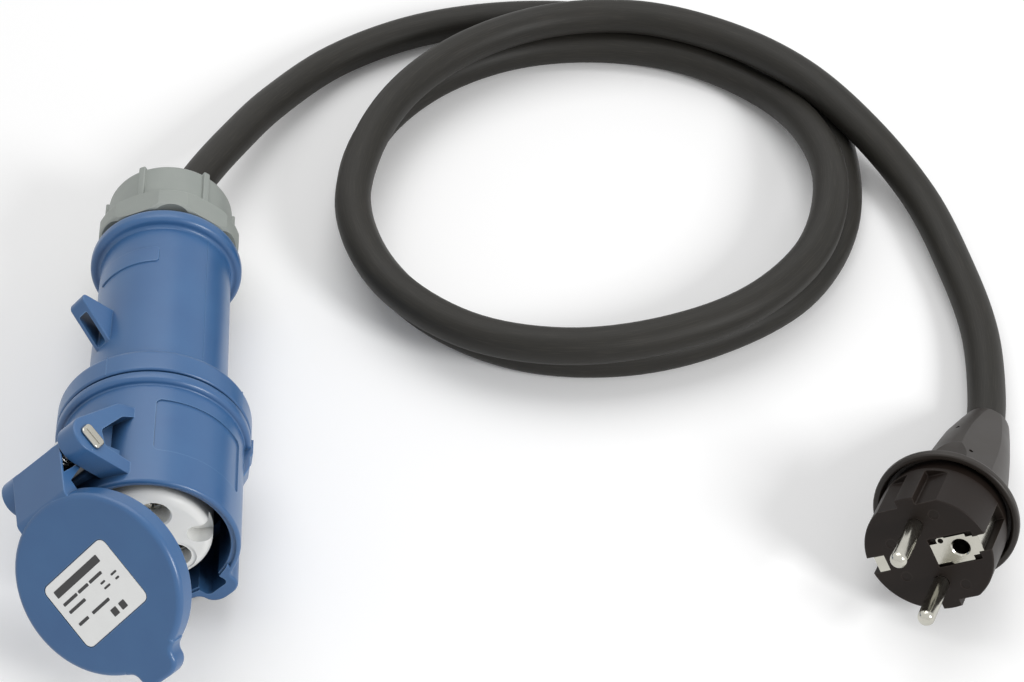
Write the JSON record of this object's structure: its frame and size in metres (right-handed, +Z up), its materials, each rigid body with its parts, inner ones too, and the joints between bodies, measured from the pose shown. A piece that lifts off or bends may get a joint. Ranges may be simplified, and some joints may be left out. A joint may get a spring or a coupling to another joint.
{
  "type": "power adapter cable",
  "caption": "Adapter lead: blue industrial connector with sprung hinged lid, black rubber cable in a loose double loop, and black earthed plug with round pins.",
  "frame": {"origin": "centre of the connector's footprint, on the surface that the lead lies on", "axes": "+Y along the connector from its mouth to the cable, +Z up, +X to the right as seen from the mouth"},
  "size_m": [0.2943, 0.2954, 0.0706],
  "materials": {
    "blue_plastic": "satin",
    "grey_plastic": "satin",
    "pale_plastic": "satin",
    "label_film": "matte",
    "steel": "satin",
    "seal_rubber": "matte",
    "brass": "satin",
    "cable_rubber": "matte",
    "plug_rubber": "matte",
    "black_plastic": "satin",
    "nickel_plate": "polished",
    "brown_core": "satin",
    "blue_core": "satin",
    "green_core": "satin"
  },
  "bodies": {
    "connector": {"front_housing": "blue_plastic", "rear_housing": "blue_plastic", "gland_nut": "grey_plastic", "contact_carrier": "pale_plastic", "hinge_pin": "steel", "lid_spring": "steel", "housing_seal": "seal_rubber", "line_contact": "brass", "neutral_contact": "brass", "earth_contact": "brass", "terminal_screws": "steel", "line_core": "brown_core", "neutral_core": "blue_core", "earth_core": "green_core", "gland_seal": "seal_rubber", "clamp_cage": "pale_plastic", "cable_sheath": "cable_rubber", "plug_hood": "plug_rubber", "plug_insert": "black_plastic", "plug_line_pin": "nickel_plate", "plug_neutral_pin": "nickel_plate", "earth_strip": "nickel_plate", "plug_terminal_screws": "steel", "plug_line_core": "brown_core", "plug_neutral_core": "blue_core", "plug_earth_core": "green_core"},
    "lid": {"lid": "blue_plastic", "lid_label": "label_film", "lid_seal": "seal_rubber"}
  },
  "joints": [
    {"name": "lid_hinge", "type": "hinge", "parent": "connector", "child": "lid", "pos_m": [-0.01819, -0.04027, 0.05535], "axis": [-0.7314, -0.0481, -0.6803], "range_deg": [-37.35, 75], "stiffness_Nm_per_rad": 0.02, "springref_deg": -85.94}
  ]
}
